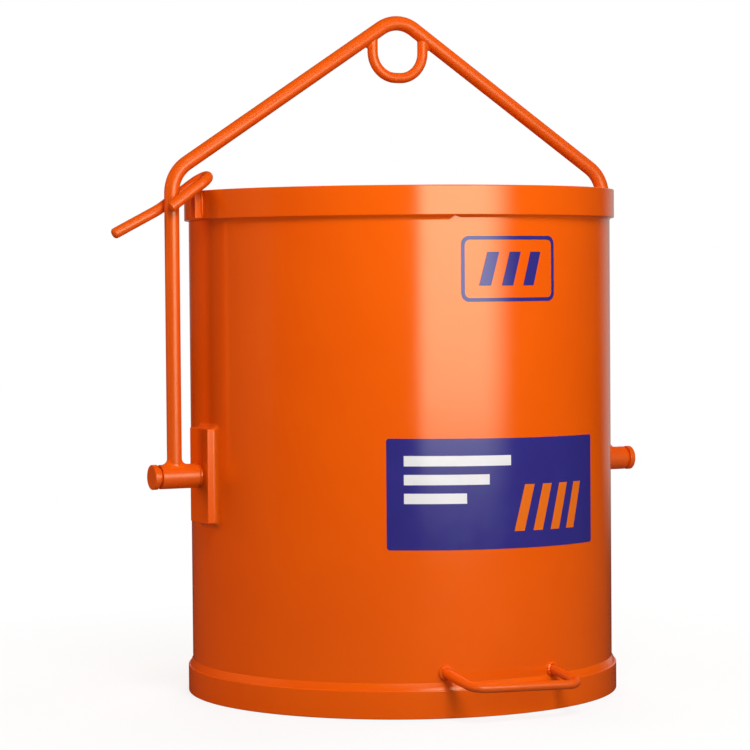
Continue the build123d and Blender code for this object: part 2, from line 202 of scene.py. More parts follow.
class BucketSizes(PropertyGroup):
    """Sizes of the dressed pieces; those that the solids fix start from their boxes."""

    drum_radius: length("Drum radius", "Outside of the rolled sheet", SHELL_HIGH.x)
    drum_wall: length("Sheet", "Thickness of the drum's sheet", 2 * MM)
    hoop_radius: length("Hoop radius", "Outside of the two hoops", RIM_HIGH.x)
    hoop_edge: length("Hoop edge", "Rounding of the hoops' outer corners", 1.1 * MM)
    round_steps: IntProperty(
        name="Steps round the drum", description="Facets of the drum and hoops", default=288, min=24
    )
    bail_rod: length("Bail rod", "Diameter of the bail's bar", BAIL_HIGH.y - BAIL_LOW.y)
    shoulder_height: length("Shoulder height", "Corner of the bail over each upright", 585 * MM)
    gable_height: length("Gable height", "Top corner of the bail's centre line", 766.4 * MM)
    shoulder_bend: length("Shoulder bend", "Radius of the bends over the uprights", 40 * MM)
    gable_bend: length("Gable bend", "Radius of the bend at the top", 38 * MM)
    eye_rod: length("Eye rod", "Diameter of the eye's bar", EYE_HIGH.y - EYE_LOW.y)
    eye_bend: length("Eye bend", "Radius of the eye's two bends", 29 * MM)
    handle_rod: length("Handle rod", "Diameter of the tipping handle's bar", 10 * MM)
    handle_root: length("Handle root", "Height of the handle's line at the drum", 44.8 * MM)
    handle_reach: length("Handle reach", "How far the handle stands out", 53.5 * MM)
    handle_droop: length("Handle droop", "How far the handle's bar hangs", 7.5 * MM)
    handle_tilt: angle("Handle tilt", "Fall of the handle's bar to the right", 1.9)
    handle_bend: length("Handle bend", "Radius of the handle's two bends", 16 * MM)
    lever_rod: length("Lever rod", "Diameter of the lever's bar", 12 * MM)
    lever_gap: length("Lever side gap", "Space between lever and upright", 0.5 * MM)
    lever_slope: angle("Lever slope", "Fall of the lever's legs", 35.5)
    lever_nose: length("Lever nose", "Reach of the hairpin from its pivot", 51 * MM)
    lever_front_end: length("Lever front end", "Length of the front leg past its pivot", 8.5 * MM)
    lever_tail_start: length("Tail start", "Where the tail begins to bend", 2 * MM)
    lever_tail_turn: angle("Tail turn", "Angle of the tail's bend", 8.5)
    lever_tail_bend: length("Tail bend", "Radius of the tail's bend", 110 * MM)
    lever_tail: length("Tail", "Straight length of the tail", 54 * MM)
    lever_tip: length("Tail tip", "Rounding of the tail's end", 3.6 * MM)
    ripple_pitch: length("Ripple pitch", "Distance between two ripples of a bead", 3.4 * MM)
    ripple_depth: FloatProperty(
        name="Ripple depth", description="A ripple's share of the bead", default=0.16, subtype="FACTOR"
    )
    bead_wander: length("Bead wander", "How far a bead strays from its line", 0.9 * MM)
    film: length("Film", "Thickness of the printed panels", 0.15 * MM)


class BucketColours(PropertyGroup):
    """Colours of the finishes."""

    enamel: colour("Enamel", "Orange gloss paint", (0.86, 0.113, 0.002))
    # On the rods, sleeves and caps this is the lighter of two tones that darken the same paint as painted
    # shade
    enamel_deep: colour("Deep enamel", "Where the paint lies thicker", (0.82, 0.1, 0.002))
    scuffed: colour("Inside", "Paint on the inside of the drum", (0.62, 0.078, 0.007))
    steel: colour("Steel", "Bare turned steel", (0.50, 0.49, 0.48))
    panel: colour("Panel", "Blue of the printed panels", (0.032, 0.026, 0.21))
    panel_pale: colour("Panel stripes", "White of the printed stripes", (0.80, 0.79, 0.80))
    panel_warm: colour("Panel bars", "Orange of the printed bars", (0.80, 0.16, 0.01))
    floor: colour("Floor", "Pale studio floor", (0.80, 0.80, 0.80))


# Nodes


def add_node(tree, kind, inputs=None, **settings):
    """Node with its settings, and with each named input linked or set."""
    node = tree.nodes.new(kind)
    for setting, value in settings.items():
        setattr(node, setting, value)
    for socket, value in (inputs or {}).items():
        if isinstance(value, bpy.types.NodeSocket):
            tree.links.new(value, node.inputs[socket])
        else:
            node.inputs[socket].default_value = value
    return node


def maths(tree, operation, first, second=0.0):
    """Result of a math node on two values or sockets."""
    return add_node(tree, "ShaderNodeMath", {0: first, 1: second}, operation=operation).outputs[0]


def vector_math(tree, operation, result, inputs):
    """One result of a vector math node."""
    return add_node(tree, "ShaderNodeVectorMath", inputs, operation=operation).outputs[result]


def ramp(tree, value, start, end, low=0.0, high=1.0, kind="LINEAR"):
    """Value that goes from low to high while the given one goes from start to end."""
    span = {"Value": value, "From Min": start, "From Max": end, "To Min": low, "To Max": high}
    return add_node(tree, "ShaderNodeMapRange", span, interpolation_type=kind).outputs["Result"]


def mixed(tree, factor, first, second):
    """Value that runs from the first to the second."""
    return add_node(tree, "ShaderNodeMix", {"Factor": factor, "A": first, "B": second}).outputs["Result"]


def emptied(owner, output):
    """Node tree of a material or world that holds its output alone, and the socket of its surface."""
    owner.use_nodes = True
    tree = owner.node_tree
    tree.nodes.clear()
    return tree, tree.nodes.new(output).inputs["Surface"]


# Finishes


def grain(tree, scale, detail):
    """Noise on the piece's own coordinates."""
    place = tree.nodes.new("ShaderNodeTexCoord").outputs["Object"]
    noise = {"Vector": place, "Scale": scale, "Detail": detail}
    return add_node(tree, "ShaderNodeTexNoise", noise).outputs["Fac"]


def uneven(tree, noise, low, high):
    """Value that wanders from low to high with a noise."""
    return ramp(tree, grain(tree, *noise), NOISE_LOW, NOISE_HIGH, low, high)


def coat(name, first, second, tone_noise, sheen, sheen_noise):
    """Material that wanders between two tones and two roughnesses, with its tree and shader."""
    material = bpy.data.materials.new(name)
    material.use_nodes = True
    tree = material.node_tree
    shader = tree.nodes["Principled BSDF"]
    tones = {"Factor": uneven(tree, tone_noise, 0, 1), "A": (*first, 1), "B": (*second, 1)}
    tone = add_node(tree, "ShaderNodeMix", tones, data_type="RGBA")
    tree.links.new(tone.outputs["Result"], shader.inputs["Base Color"])
    tree.links.new(uneven(tree, sheen_noise, *sheen), shader.inputs["Roughness"])
    return material, tree, shader


def roughen(tree, shader, noise, strength, depth):
    """Give a shader a fine relief."""
    height = grain(tree, *noise)
    bump = add_node(tree, "ShaderNodeBump", {"Strength": strength, "Distance": depth, "Height": height})
    tree.links.new(bump.outputs["Normal"], shader.inputs["Normal"])


def darker(tone, share):
    """A tone at a share of its brightness."""
    return [share * part for part in tone]


def painted(name, first, second, sheen, peel):
    """Enamel with a slight change of tone, uneven gloss and the skin of sprayed paint."""
    material, tree, shader = coat(name, first, second, PAINT_TONE, sheen, PAINT_SHEEN)
    roughen(tree, shader, PAINT_SKIN, peel, PAINT_SKIN_DEPTH)
    shader.inputs["IOR"].default_value = GLOSS_IOR
    shader.inputs["Specular IOR Level"].default_value = 0.8
    shader.inputs["Specular Tint"].default_value = (1.0, 0.93, 0.6, 1)
    return material


def turned_steel(name, tone):
    """Bare steel with fine turning marks."""
    material, tree, shader = coat(name, tone, darker(tone, 0.7), STEEL_TONE, STEEL_ROUGHNESS, STEEL_SHEEN)
    roughen(tree, shader, STEEL_MARKS, STEEL_MARK_STRENGTH, STEEL_MARK_DEPTH)
    shader.inputs["Metallic"].default_value = 1
    return material


def printed_film(name, tone):
    """Printed film with a soft gloss and faint unevenness."""
    material, _, shader = coat(name, tone, darker(tone, 0.9), FILM_TONE, FILM_ROUGHNESS, FILM_SHEEN)
    shader.inputs["IOR"].default_value = GLOSS_IOR
    return material


def finish(name):
    """One of the bucket's finishes, made when it is first asked for."""
    if name in bpy.data.materials:
        return bpy.data.materials[name]
    colours = bpy.context.scene.bucket_colours
    deep = colours.enamel_deep
    # Each paint: its two tones, its least and most roughness, and how strong its skin is
    makers = {
        "Orange enamel": (painted, colours.enamel, deep, (0.13, 0.17), 0.012),
        # The rods' paint wanders between the deep enamel and a tone below it: the drum's orange made darker
        # as painted shade for the lesser light on rods, sleeves and caps
        "Enamel on rods": (painted, deep, darker(deep, 0.88), (0.30, 0.38), 0.02),
        "Enamel over weld": (painted, deep, colours.enamel, (0.16, 0.24), 0.03),
        "Enamel inside": (painted, colours.scuffed, deep, (0.35, 0.55), 0.04),
        "Turned steel": (turned_steel, colours.steel),
        "Panel blue": (printed_film, colours.panel),
        "Panel white": (printed_film, colours.panel_pale),
        "Panel orange": (printed_film, colours.panel_warm),
    }
    maker, *settings = makers[name]
    return maker(name, *settings)


# Meshes


def mesh_of(name, shape, finishes):
    """Mesh of a shape that is complete, in its finishes."""
    mesh = bpy.data.meshes.new(name)
    shape.to_mesh(mesh)
    shape.free()
    for material in finishes:
        mesh.materials.append(finish(material))
    return mesh


def settle(mesh):
    """Merge doubles, turn the faces outwards and shade them smooth between sharp edges."""
    shape = bmesh.new()
    shape.from_mesh(mesh)
    bmesh.ops.remove_doubles(shape, verts=shape.verts, dist=SAME_PLACE)
    bmesh.ops.recalc_face_normals(shape, faces=shape.faces)
    shape.to_mesh(mesh)
    shape.free()
    mesh.shade_smooth()
    mesh.set_sharp_from_angle(angle=SHARP_EDGE)
    return mesh


def new_object(name, data):
    """Object that is in the scene."""
    made = bpy.data.objects.new(name, data)
    bpy.context.scene.collection.objects.link(made)
    return made


def fit(name, mesh, body, replaced=()):
    """Put a finished mesh in the scene, on its body and in place of the solids that it stands for."""
    piece = new_object(name, mesh)
    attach(piece, body)
    if replaced:
        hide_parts(*replaced)


def full_turn(steps):
    """Angles of a full turn in equal steps."""
    return [2 * pi * step / steps for step in range(steps)]


def eased(corners, radii):
    """Outline with each corner rounded by its own radius, and points that keep the faces beside it flat."""
    outline = []
    count = len(corners)
    for index, (corner, radius) in enumerate(zip(corners, radii)):
        here = Vector(corner)
        back = (Vector(corners[index - 1]) - here).normalized()
        ahead = (Vector(corners[(index + 1) % count]) - here).normalized()
        if radius <= 0:
            outline.append(here)
            continue
        half = back.angle(ahead) / 2
        centre = here + (back + ahead).normalized() * (radius / sin(half))
        start = here + back * (radius / tan(half)) - centre
        end = here + ahead * (radius / tan(half)) - centre
        sweep = start.angle(end)
        outline.append(centre + start + back * radius * CORNER_HOLD)
        for step in range(CORNER_STEPS + 1):
            share = step / CORNER_STEPS
            arm = (start * sin((1 - share) * sweep) + end * sin(share * sweep)) / sin(sweep)
            outline.append(centre + arm)
        outline.append(centre + end + ahead * radius * CORNER_HOLD)
    return outline


def bar_section(inner, outer, low, high, radii):
    """Outline of a flat bar to be turned, with a rounding for each corner, from the lower inner one on."""
    return eased([(inner, low), (outer, low), (outer, high), (inner, high)], radii)


def turned(name, outline, steps, finishes, place=Matrix(), inside=None):
    """Solid of revolution of an outline of radius and height, with a second finish within a radius."""
    shape = bmesh.new()
    rings = []
    for radius, height in outline:
        if radius < ON_AXIS:
            rings.append([shape.verts.new(place @ Vector((0, 0, height)))] * steps)
            continue
        ring = [Vector((radius * cos(turn), radius * sin(turn), height)) for turn in full_turn(steps)]
        rings.append([shape.verts.new(place @ point) for point in ring])
    spans = list(zip(rings, rings[1:], outline, outline[1:]))
    if outline[0][0] > ON_AXIS:
        spans.append((rings[-1], rings[0], outline[-1], outline[0]))
    for ring, following, here, ahead in spans:
        middle = (here[0] + ahead[0]) / 2
        for step in range(steps):
            beside = (step + 1) % steps
            corners = (ring[step], ring[beside], following[beside], following[step])
            face = shape.faces.new(list(dict.fromkeys(corners)))
            face.material_index = 1 if inside and middle < inside else 0
    return settle(mesh_of(name, shape, finishes))


def made_plain(source):
    """Plain mesh of an object with its modifiers; the object itself goes."""
    depsgraph = bpy.context.evaluated_depsgraph_get()
    mesh = bpy.data.meshes.new_from_object(source.evaluated_get(depsgraph))
    bpy.data.objects.remove(source)
    return mesh


def lines(name, runs):
    """Mesh of edges for a node tree: each run is its points, whether it closes, and its point values."""
    vertices, edges = [], []
    values = {attribute: [] for attribute in runs[0][2]}
    for points, closed, point_values in runs:
        first = len(vertices)
        vertices.extend(points)
        edges.extend((first + step, first + step + 1) for step in range(len(points) - 1))
        if closed:
            edges.append((first + len(points) - 1, first))
        for attribute in values:
            values[attribute].extend(point_values[attribute])
    mesh = bpy.data.meshes.new(name)
    mesh.from_pydata(vertices, edges, [])
    for attribute in values:
        mesh.attributes.new(attribute, "FLOAT", "POINT").data.foreach_set("value", values[attribute])
    return mesh


# Geometry Nodes


def new_tree(name, source, sizes, counts, result):
    """Node tree with its named inputs, the sockets that give them and those that take the result."""
    tree = bpy.data.node_groups.new(name, "GeometryNodeTree")
    kinds = {source: "NodeSocketGeometry", "Finish": "NodeSocketMaterial"}
    kinds |= dict.fromkeys(sizes, "NodeSocketFloat") | dict.fromkeys(counts, "NodeSocketInt")
    for socket, kind in kinds.items():
        tree.interface.new_socket(socket, in_out="INPUT", socket_type=kind)
    tree.interface.new_socket(result, in_out="OUTPUT", socket_type="NodeSocketGeometry")
    return tree, tree.nodes.new("NodeGroupInput").outputs, tree.nodes.new("NodeGroupOutput").inputs


def point_value(tree, name):
    """Value that each point of a line carries."""
    value = add_node(tree, "GeometryNodeInputNamedAttribute", {"Name": name}, data_type="FLOAT")
    return value.outputs["Attribute"]


def tube(tree, line, sides, radius, girth):
    """Closed round tube along each curve."""
    ring = add_node(tree, "GeometryNodeCurvePrimitiveCircle", {"Resolution": sides, "Radius": radius})
    parts = {"Curve": line, "Profile Curve": ring.outputs["Curve"], "Scale": girth, "Fill Caps": True}
    return add_node(tree, "GeometryNodeCurveToMesh", parts).outputs["Mesh"]


def finished_tree(tree, shape, coating, result):
    """Close a tree: plain geometry in its finish."""
    plain = add_node(tree, "GeometryNodeRealizeInstances", {"Geometry": shape})
    coated = {"Geometry": plain.outputs["Geometry"], "Material": coating}
    finished = add_node(tree, "GeometryNodeSetMaterial", coated)
    tree.links.new(finished.outputs["Geometry"], result)
    return tree


def bent_rod_tree(name):
    """Round bar along a line, bent at each corner by the corner's own radius."""
    counts = ("Bend steps", "Sides")
    tree, given, made = new_tree(name, "Centre line", ("Rod diameter",), counts, "Rod")
    line = add_node(tree, "GeometryNodeMeshToCurve", {"Mesh": given["Centre line"]})
    bends = {
        "Curve": line.outputs["Curve"],
        "Count": given["Bend steps"],
        "Radius": point_value(tree, "bend_radius"),
        "Limit Radius": True,
    }
    bent = add_node(tree, "GeometryNodeFilletCurve", bends, mode="POLY")
    radius = maths(tree, "MULTIPLY", given["Rod diameter"], 0.5)
    rod = tube(tree, bent.outputs["Curve"], given["Sides"], radius, point_value(tree, "girth"))
    return finished_tree(tree, rod, given["Finish"], made["Rod"])


def weld_bead_tree(name):
    """Rippled bead along each line, of the line's own radius."""
    sizes = ("Ripple pitch", "Ripple depth", "Wander", "Seed")
    tree, given, made = new_tree(name, "Seams", sizes, ("Sides",), "Beads")
    line = add_node(tree, "GeometryNodeMeshToCurve", {"Mesh": given["Seams"]})
    step = maths(tree, "DIVIDE", given["Ripple pitch"], RIPPLE_SAMPLES)
    samples = {"Curve": line.outputs["Curve"], "Length": step}
    sampled = add_node(tree, "GeometryNodeResampleCurve", samples, mode="LENGTH")
    noise = {"Scale": WAVER_SCALE, "Detail": WAVER_DETAIL, "W": given["Seed"]}
    waver = add_node(tree, "ShaderNodeTexNoise", noise, noise_dimensions="4D").outputs
    centred = vector_math(tree, "SUBTRACT", "Vector", {0: waver["Color"], 1: (0.5, 0.5, 0.5)})
    stray = vector_math(tree, "SCALE", "Vector", {0: centred, "Scale": given["Wander"]})
    moved = {"Geometry": sampled.outputs["Curve"], "Offset": stray}
    laid = add_node(tree, "GeometryNodeSetPosition", moved)
    run = add_node(tree, "GeometryNodeSplineParameter").outputs["Length"]
    beat = maths(tree, "DIVIDE", run, given["Ripple pitch"])
    uneven_beat = maths(tree, "ADD", beat, waver["Fac"])
    crest = maths(tree, "ABSOLUTE", maths(tree, "SINE", maths(tree, "MULTIPLY", uneven_beat, pi)))
    dip = maths(tree, "MULTIPLY", maths(tree, "SUBTRACT", 1.0, crest), given["Ripple depth"])
    swell = maths(tree, "ADD", BEAD_LEAST, maths(tree, "MULTIPLY", waver["Fac"], BEAD_SWELL))
    girth = maths(tree, "MULTIPLY", maths(tree, "SUBTRACT", 1.0, dip), swell)
    scale = maths(tree, "MULTIPLY", girth, point_value(tree, "bead_radius"))
    bead = tube(tree, laid.outputs["Geometry"], given["Sides"], 1.0, scale)
    return finished_tree(tree, bead, given["Finish"], made["Beads"])


def grown(name, runs, tree_name, build, settings):
    """Plain mesh that a node tree makes of lines; the tree is built once."""
    tree = bpy.data.node_groups.get(tree_name) or build(tree_name)
    source = new_object(name + " lines", lines(name, runs))
    modifier = source.modifiers.new(tree_name, "NODES")
    modifier.node_group = tree
    for socket in tree.interface.items_tree:
        if socket.in_out == "INPUT" and socket.name in settings:
            modifier[socket.identifier] = settings[socket.name]
    result = made_plain(source)
    if not result.polygons:
        raise RuntimeError(f"{tree_name} made no faces for {name}")
    result.name = name
    return settle(result)


def bent_rod(name, corners, diameter, girths=None):
    """Round bar through corners of place and bend radius."""
    points, bends = zip(*corners)
    values = {"bend_radius": bends, "girth": girths or [1.0] * len(corners)}
    settings = {"Rod diameter": diameter, "Bend steps": BEND_STEPS, "Sides": ROD_SIDES}
    # The rods take the darker copy of the enamel, a painted shade
    settings["Finish"] = finish("Enamel on rods")
    return grown(name, [(points, False, values)], "Bent rod", bent_rod_tree, settings)


def weld_beads(name, runs):
    """Rippled beads along a set of seams."""
    sizes = bpy.context.scene.bucket_sizes
    settings = {
        "Ripple pitch": sizes.ripple_pitch,
        "Ripple depth": sizes.ripple_depth,
        "Wander": sizes.bead_wander,
        "Sides": BEAD_SIDES,
        "Seed": BEAD_SEED,
        "Finish": finish("Enamel over weld"),
    }
    return grown(name, runs, "Weld bead", weld_bead_tree, settings)


# Places on the rods' centre lines


def uprights():
    """X of the bail's left and right uprights."""
    half = bpy.context.scene.bucket_sizes.bail_rod / 2
    return BAIL_LOW.x + half, BAIL_HIGH.x - half


def gable_line(x):
    """Height of the gable's centre line over a place along X."""
    sizes = bpy.context.scene.bucket_sizes
    left, right = uprights()
    upright = left if x < 0 else right
    return sizes.gable_height - (sizes.gable_height - sizes.shoulder_height) * x / upright


def handle_leg(side):
    """A leg's two ends on the tipping handle's centre line: at the drum, and at its corner."""
    sizes = bpy.context.scene.bucket_sizes
    tilt = sizes.handle_tilt
    half = (HANDLE_HIGH.x - HANDLE_LOW.x - sizes.handle_rod) / 2 / cos(tilt)
    fall = atan2(sizes.handle_droop, sizes.handle_reach)
    out = Vector((0, -cos(fall), -sin(fall)))
    level = Vector((cos(tilt), sin(tilt) * sin(fall), -sin(tilt) * cos(fall)))
    foot = Vector((0, -sizes.drum_radius, sizes.handle_root)) + level * side * half
    wall = -sqrt(sizes.drum_radius**2 - foot.x**2)
    return foot + out * (wall - foot.y) / out.y, foot + out * sizes.handle_reach / cos(fall)


# Pieces


class BUCKET_OT_drum(Operator):
    """Rolled sheet of the drum, painted outside and inside"""

    bl_idname = "bucket.drum"
    bl_label = "Drum"

    def execute(self, context):
        sizes = context.scene.bucket_sizes
        outer = sizes.drum_radius
        inner = outer - sizes.drum_wall
        outline = bar_section(inner, outer, SHELL_LOW.z, SHELL_HIGH.z, (0, 0, SHEET_EDGE, SHEET_EDGE))
        inside = (inner + outer) / 2 - INSIDE_MARGIN
        finishes = ("Orange enamel", "Enamel inside")
        mesh = turned("rolled_drum", outline, sizes.round_steps, finishes, inside=inside)
        fit("rolled_drum", mesh, "drum", ["drum_shell"])
        return {"FINISHED"}


class BUCKET_OT_hoops(Operator):
    """Flat bar rolled round the mouth and the foot"""

    bl_idname = "bucket.hoops"
    bl_label = "Hoops"

    def execute(self, context):
        sizes = context.scene.bucket_sizes
        radii = (0, sizes.hoop_edge, sizes.hoop_edge, 0)
        for name, node, low, high in (
            ("rim_bar", "rim_hoop", RIM_EDGE, RIM_HIGH.z),
            ("base_bar", "base_hoop", BASE_LOW.z, BASE_HIGH.z),
        ):
            outline = bar_section(sizes.drum_radius, sizes.hoop_radius, low, high, radii)
            mesh = turned(name, outline, sizes.round_steps, ["Orange enamel"])
            fit(name, mesh, "drum", [node])
        return {"FINISHED"}


class BUCKET_OT_trunnions(Operator):
    """Sleeves of the bail and caps of the pins, turned smooth"""

    bl_idname = "bucket.trunnions"
    bl_label = "Trunnions"

    def execute(self, context):
        radius = (SLEEVE_HIGH.z - SLEEVE_LOW.z) / 2
        radii = (0, SLEEVE_EDGE, SLEEVE_EDGE, 0)
        sleeve = bar_section(PIN_RADIUS + BORE_GAP, radius, SLEEVE_LOW.x, SLEEVE_HIGH.x, radii)
        radius = (CAP_HIGH.z - CAP_LOW.z) / 2
        cap = bar_section(0, radius, CAP_LOW.x, CAP_HIGH.x, (0, CAP_EDGE, CAP_EDGE, 0))
        for side, side_name in SIDES.items():
            # Heights of the sections become distances along the trunnion axis
            place = Matrix.Translation((0, 0, TRUNNION_HEIGHT)) @ Matrix.Rotation(side * pi / 2, 4, "Y")
            for name, outline, body, node in (
                (f"{side_name}_tube", sleeve, "bail", f"{side_name}_bail_sleeve"),
                (f"{side_name}_disc", cap, "drum", f"{side_name}_pin_cap"),
            ):
                # Sleeves and caps take the darker copy of the enamel, a painted shade
                mesh = turned(name, outline, TRUNNION_STEPS, ["Enamel on rods"], place)
                fit(name, mesh, body, [node])
        return {"FINISHED"}


class BUCKET_OT_bail(Operator):
    """Bail bent from one round bar"""

    bl_idname = "bucket.bail"
    bl_label = "Bail"

    def execute(self, context):
        sizes = context.scene.bucket_sizes
        left, right = uprights()
        foot = TRUNNION_HEIGHT + BAIL_FOOT_RISE
        corners = [
            (Vector((left, 0, foot)), 0),
            (Vector((left, 0, sizes.shoulder_height)), sizes.shoulder_bend),
            (Vector((0, 0, sizes.gable_height)), sizes.gable_bend),
            (Vector((right, 0, sizes.shoulder_height)), sizes.shoulder_bend),
            (Vector((right, 0, foot)), 0),
        ]
        mesh = bent_rod("bail_bar", corners, sizes.bail_rod)
        fit("bail_bar", mesh, "bail", ["bail_rod"])
        return {"FINISHED"}


class BUCKET_OT_eye(Operator):
    """Lifting eye under the top of the bail"""

    bl_idname = "bucket.eye"
    bl_label = "Lifting eye"

    def execute(self, context):
        sizes = context.scene.bucket_sizes
        half = EYE_HIGH.x - sizes.eye_rod / 2
        low = EYE_LOW.z + sizes.eye_rod / 2
        corners = [
            (Vector((-half, 0, gable_line(-half))), 0),
            (Vector((-half, 0, low)), sizes.eye_bend),
            (Vector((half, 0, low)), sizes.eye_bend),
            (Vector((half, 0, gable_line(half))), 0),
        ]
        mesh = bent_rod("eye_bar", corners, sizes.eye_rod)
        fit("eye_bar", mesh, "bail", ["lifting_eye"])
        return {"FINISHED"}


class BUCKET_OT_handle(Operator):
    """Tipping handle low on the front"""

    bl_idname = "bucket.handle"
    bl_label = "Tipping handle"

    def execute(self, context):
        sizes = context.scene.bucket_sizes
        left_root, left_corner = handle_leg(LEFT)
        right_root, right_corner = handle_leg(RIGHT)
        into_wall = Vector((0, HANDLE_END_DEPTH, 0))
        corners = [
            (left_root + into_wall, 0),
            (left_corner, sizes.handle_bend),
            (right_corner, sizes.handle_bend),
            (right_root + into_wall, 0),
        ]
        mesh = bent_rod("handle_bar", corners, sizes.handle_rod)
        fit("handle_bar", mesh, "drum", ["tipping_handle"])
        return {"FINISHED"}


class BUCKET_OT_lever(Operator):
    """Hairpin lever that locks the drum to the bail"""

    bl_idname = "bucket.lever"
    bl_label = "Locking lever"

    def execute(self, context):
        sizes = context.scene.bucket_sizes
        along = Vector((-cos(sizes.lever_slope), 0, -sin(sizes.lever_slope)))
        rise = Vector((-sin(sizes.lever_slope), 0, cos(sizes.lever_slope)))
        half = Vector((0, (sizes.bail_rod + sizes.lever_rod) / 2 + sizes.lever_gap, 0))
        tangent = sizes.lever_tail_bend * tan(sizes.lever_tail_turn / 2)
        bend = LEVER_PIVOT + half + along * (sizes.lever_tail_start + tangent)
        tail = along * cos(sizes.lever_tail_turn) + rise * sin(sizes.lever_tail_turn)
        tip = bend + tail * (tangent + sizes.lever_tail)
        corners = [
            (LEVER_PIVOT - half + along * sizes.lever_front_end, 0),
            (LEVER_PIVOT - half - along * sizes.lever_nose, half.y),
            (LEVER_PIVOT + half - along * sizes.lever_nose, half.y),
            (bend, sizes.lever_tail_bend),
        ]
        girths = [1.0] * len(corners)
        for step in range(TIP_STEPS + 1):
            turn = pi / 2 * step / TIP_STEPS
            corners.append((tip - tail * sizes.lever_tip * (1 - sin(turn)), 0))
            girths.append(1 - 2 * sizes.lever_tip * (1 - cos(turn)) / sizes.lever_rod)
        mesh = bent_rod("lever_bar", corners, sizes.lever_rod, girths)
        fit("lever_bar", mesh, "latch", ["latch_lever"])
        return {"FINISHED"}


def pin_run(side):
    """Bead for the weld tree, round a pin at its pad."""
    radius = PIN_RADIUS + PIN_BEAD_OUT
    out = side * (PAD_HIGH.x + PIN_BEAD_OUT)
    points = [
        Vector((out, radius * cos(turn), TRUNNION_HEIGHT + radius * sin(turn)))
        for turn in full_turn(PIN_BEAD_POINTS)
    ]
    return points, True, {"bead_radius": [PIN_BEAD] * len(points)}


def handle_run(side):
    """Bead for the weld tree, where a leg of the handle meets the drum."""
    sizes = bpy.context.scene.bucket_sizes
    root = handle_leg(side)[0]
    radius = sizes.handle_rod / 2 + HANDLE_BEAD_ROUND
    points = []
    for turn in full_turn(HANDLE_BEAD_POINTS):
        x = root.x + radius * cos(turn)
        y = -sqrt(sizes.drum_radius**2 - x**2) - HANDLE_BEAD_OUT
        points.append(Vector((x, y, root.z + radius * sin(turn))))
    return points, True, {"bead_radius": [HANDLE_BEAD] * len(points)}


def upright_run(x, y, low, high, radius):
    """Bead for the weld tree, up a straight seam, that tapers at its ends."""
    count = 1 + int((high - low) / SEAM_STEP)
    points = [Vector((x, y, low + (high - low) * step / count)) for step in range(count + 1)]
    radii = [radius] * len(points)
    radii[0] = radii[-1] = BEAD_END * radius
    return points, False, {"bead_radius": radii}


def rim_bead(name, start, sweep, leg, fall, hollow):
    """Smooth bead under the rim hoop that runs out at both ends; its face is flat at 1, hollow above it."""
    drum_radius = bpy.context.scene.bucket_sizes.drum_radius
    shape = bmesh.new()
    count = int(sweep * drum_radius / RIM_BEAD_STEP)
    shares = [step / RIM_BEAD_FACETS for step in range(RIM_BEAD_FACETS + 1)]
    rings = []
    for part in range(count + 1):
        turn = start + sweep * part / count
        from_end = min(part, count - part) * RIM_BEAD_STEP
        size = RIM_BEAD_END + (1 - RIM_BEAD_END) * min(from_end / RIM_BEAD_RUN_OUT, 1)
        outline = [(leg * size * (1 - share) ** hollow, -fall * size * share) for share in shares]
        outline += [(-RIM_BEAD_DEPTH, -fall * size), (-RIM_BEAD_DEPTH, RIM_BEAD_LAP)]
        outline.append((leg * size, RIM_BEAD_LAP))
        ring = [(drum_radius + out, RIM_EDGE + up) for out, up in outline]
        rings.append([shape.verts.new((out * cos(turn), out * sin(turn), up)) for out, up in ring])
    for ring, following in zip(rings, rings[1:]):
        for corner in range(len(ring)):
            shape.faces.new((ring[corner - 1], ring[corner], following[corner], following[corner - 1]))
    shape.faces.new(rings[0])
    shape.faces.new(rings[-1])
    return settle(mesh_of(name, shape, ["Orange enamel"]))


class BUCKET_OT_welds(Operator):
    """Rippled beads over the welds of the drum, and the smooth beads under its rim"""

    bl_idname = "bucket.welds"
    bl_label = "Weld beads"

    def execute(self, context):
        sizes = context.scene.bucket_sizes
        runs = [upright_run(0, sizes.drum_radius, BASE_HIGH.z + SEAM_GAP, RIM_LOW.z - SEAM_GAP, SEAM_BEAD)]
        joints = ((*RIM_JOINT, RIM_LOW.z, RIM_HIGH.z), (*BASE_JOINT, BASE_LOW.z, BASE_HIGH.z))
        for x, share, low, high in joints:
            y = (sizes.hoop_radius - JOINT_DEPTH) * share
            runs.append(upright_run(x, y, low + JOINT_GAP, high - JOINT_GAP, JOINT_BEAD))
        for side in SIDES:
            runs.append(pin_run(side))
            runs.append(handle_run(side))
            x = CATCH_HIGH.x - CATCH_BEAD_DEPTH
            y = side * (CATCH_HIGH.y + CATCH_BEAD_OUT)
            runs.append(upright_run(x, y, RIM_LOW.z + CATCH_GAP, RIM_HIGH.z - CATCH_GAP, CATCH_BEAD))
        fit("drum_beads", weld_beads("drum_beads", runs), "drum")

        leg = sizes.hoop_radius - sizes.drum_radius - sizes.hoop_edge
        bead = rim_bead(
            "rim_bead", start=radians(-102.5), sweep=radians(162.5), leg=leg / 2, fall=2.6 * MM, hollow=1.35
        )
        fit("rim_bead", bead, "drum", ["rim_hoop_weld"])
        bead = rim_bead(
            "rim_root_bead", start=radians(-177), sweep=radians(74.5), leg=leg, fall=6 * MM, hollow=2.6
        )
        fit("rim_root_bead", bead, "drum")
        return {"FINISHED"}


